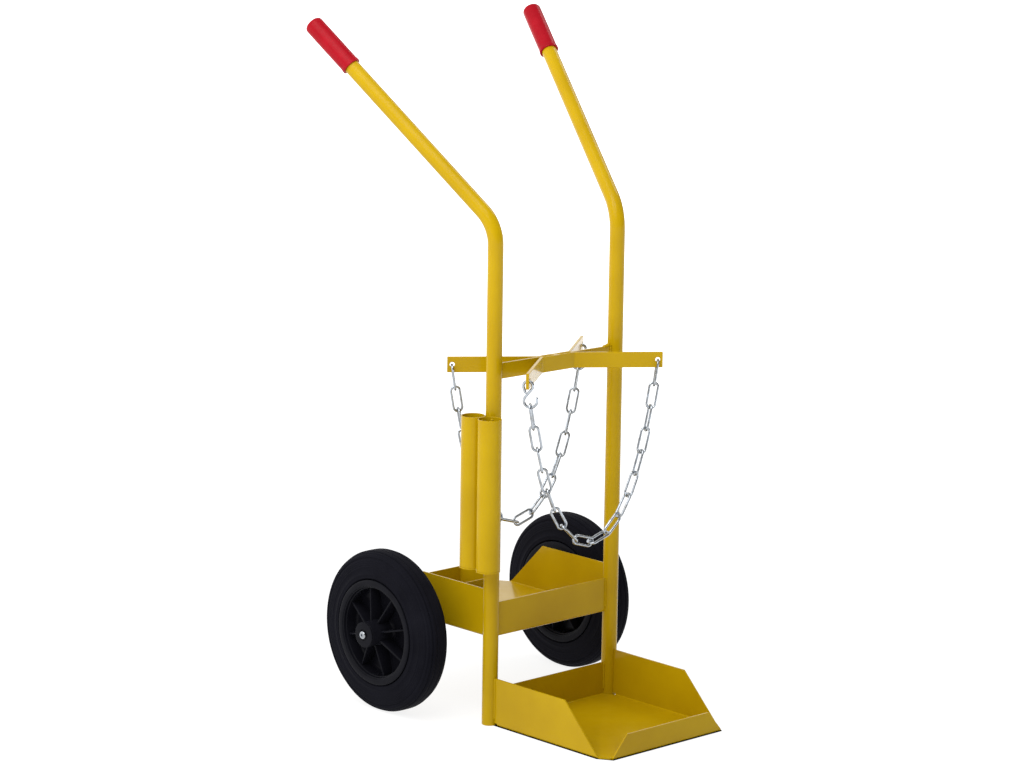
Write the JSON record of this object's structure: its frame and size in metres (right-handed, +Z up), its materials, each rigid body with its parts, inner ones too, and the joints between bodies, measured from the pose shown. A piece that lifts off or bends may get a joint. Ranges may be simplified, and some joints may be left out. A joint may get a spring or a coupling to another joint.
{
  "type": "two-bottle gas cylinder cart",
  "caption": "Tubular hand cart for two gas bottles stood back to back, with folded trays, chain cradles, rod tubes, a tool compartment and spinning wheels.",
  "frame": {"origin": "on the floor, midway between the two uprights, in the plane of their axes", "axes": "+X to the right for someone facing the base tray, +Y to the rear with the handles and wheels, +Z up"},
  "size_m": [0.5074, 0.5921, 1.0988],
  "materials": {
    "yellow_paint": "glossy yellow enamel",
    "grip_sleeve": "smooth satin red",
    "tyre_rubber": "matt solid rubber",
    "rim_plastic": "satin moulded dark grey",
    "zinc_plate": "bright zinc plate",
    "bare_steel": "turned bright bar",
    "bush_bronze": "sintered bronze"
  },
  "bodies": {
    "cart_frame": {"left_upright": "yellow_paint", "right_upright": "yellow_paint", "left_grip": "grip_sleeve", "right_grip": "grip_sleeve", "base_tray": "yellow_paint", "axle_tray": "yellow_paint", "tool_box": "yellow_paint", "tie_bar": "yellow_paint", "front_cradle": "yellow_paint", "rear_cradle": "yellow_paint", "front_rod_tube": "yellow_paint", "rear_rod_tube": "yellow_paint", "front_rod_cap": "yellow_paint", "rear_rod_cap": "yellow_paint", "front_first_link": "zinc_plate", "front_s_hook": "zinc_plate", "rear_first_link": "zinc_plate", "rear_s_hook": "zinc_plate", "axle": "bare_steel", "left_collar": "bare_steel", "right_collar": "bare_steel", "left_inner_washer": "bare_steel", "right_inner_washer": "bare_steel", "left_outer_washer": "rim_plastic", "right_outer_washer": "rim_plastic", "left_hub_bolt": "zinc_plate", "right_hub_bolt": "zinc_plate"},
    "left_wheel": {"left_rim": "rim_plastic", "left_rim_ribs": "rim_plastic", "left_tyre": "tyre_rubber", "left_outer_bush": "bush_bronze", "left_inner_bush": "bush_bronze"},
    "right_wheel": {"right_rim": "rim_plastic", "right_rim_ribs": "rim_plastic", "right_tyre": "tyre_rubber", "right_outer_bush": "bush_bronze", "right_inner_bush": "bush_bronze"},
    "front_chain_run": {"front_chain": "zinc_plate"},
    "rear_chain_run": {"rear_chain": "zinc_plate"}
  },
  "joints": [
    {"name": "left_wheel_spin", "type": "hinge", "parent": "cart_frame", "child": "left_wheel", "pos_m": [-0.20225, 0.17, 0.1305], "axis": [1, 0, 0], "continuous": true},
    {"name": "right_wheel_spin", "type": "hinge", "parent": "cart_frame", "child": "right_wheel", "pos_m": [0.20225, 0.17, 0.1305], "axis": [1, 0, 0], "continuous": true},
    {"name": "front_chain_swing", "type": "hinge", "parent": "cart_frame", "child": "front_chain_run", "pos_m": [0.13427, -0.08716, 0.53018], "axis": [0.9999, 0.0109, 0.0004], "range_deg": [-35, 15]},
    {"name": "rear_chain_swing", "type": "hinge", "parent": "cart_frame", "child": "rear_chain_run", "pos_m": [-0.13427, 0.08716, 0.53018], "axis": [0.9999, 0.0109, -0.0004], "range_deg": [-15, 35]}
  ]
}
